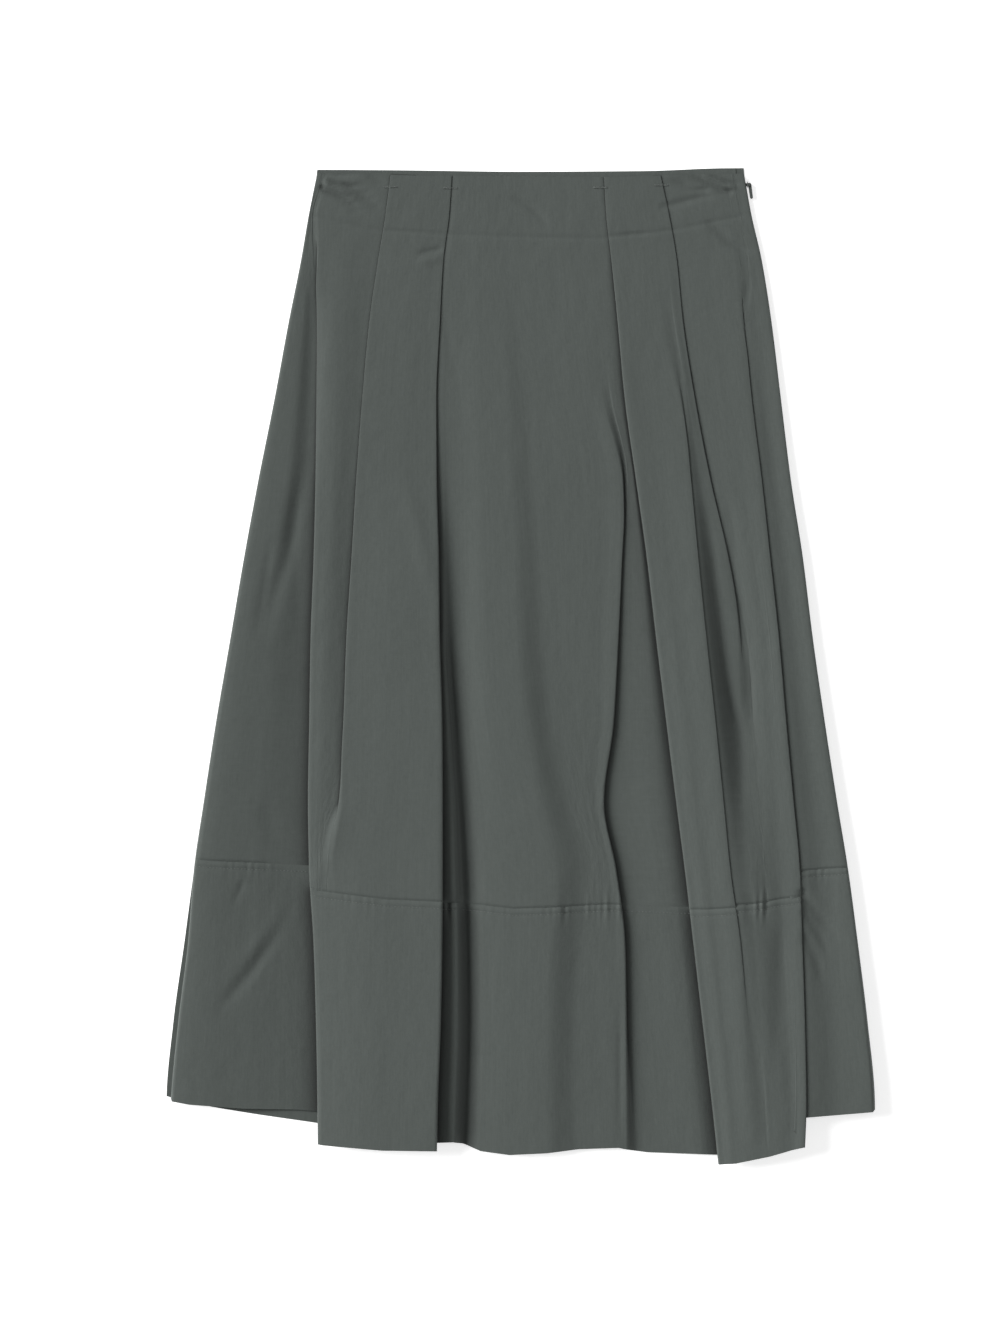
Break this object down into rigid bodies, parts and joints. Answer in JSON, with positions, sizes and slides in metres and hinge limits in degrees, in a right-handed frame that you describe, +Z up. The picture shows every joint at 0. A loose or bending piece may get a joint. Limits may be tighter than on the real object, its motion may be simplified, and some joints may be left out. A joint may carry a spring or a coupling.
{
  "type": "pleated skirt",
  "caption": "Dark grey-green cotton midi skirt laid flat on its back: tacked pleats at a faced waist, flared panels, a deep stitched hem band and a closed side zip.",
  "frame": {"origin": "on the floor, under the middle of the skirt's outline as it lies", "axes": "+Z up from the floor, through the layers from back to front; +Y from the hem to the waist; +X to the wearer's left side, where the zip is"},
  "size_m": [0.5809, 0.8159, 0.0136],
  "materials": {
    "poplin": "matt plain-woven cotton, dark grey-green",
    "zip_tape": "closed fine nylon zip, dark grey-green",
    "zip_metal": "satin lacquer, dark grey-green"
  },
  "bodies": {
    "skirt": {"back_panel": "poplin", "back_band": "poplin", "back_facing": "poplin", "front_panel": "poplin", "front_band": "poplin", "zip_chain": "zip_tape", "zip_slider": "zip_metal"},
    "pull_tab": {"zip_pull": "zip_metal"}
  },
  "joints": [
    {"name": "pull_tab_hinge", "type": "hinge", "parent": "skirt", "child": "pull_tab", "pos_m": [0.1874, 0.3941, 0.0027], "axis": [0, 0, 1], "range_deg": [0, 150]}
  ]
}
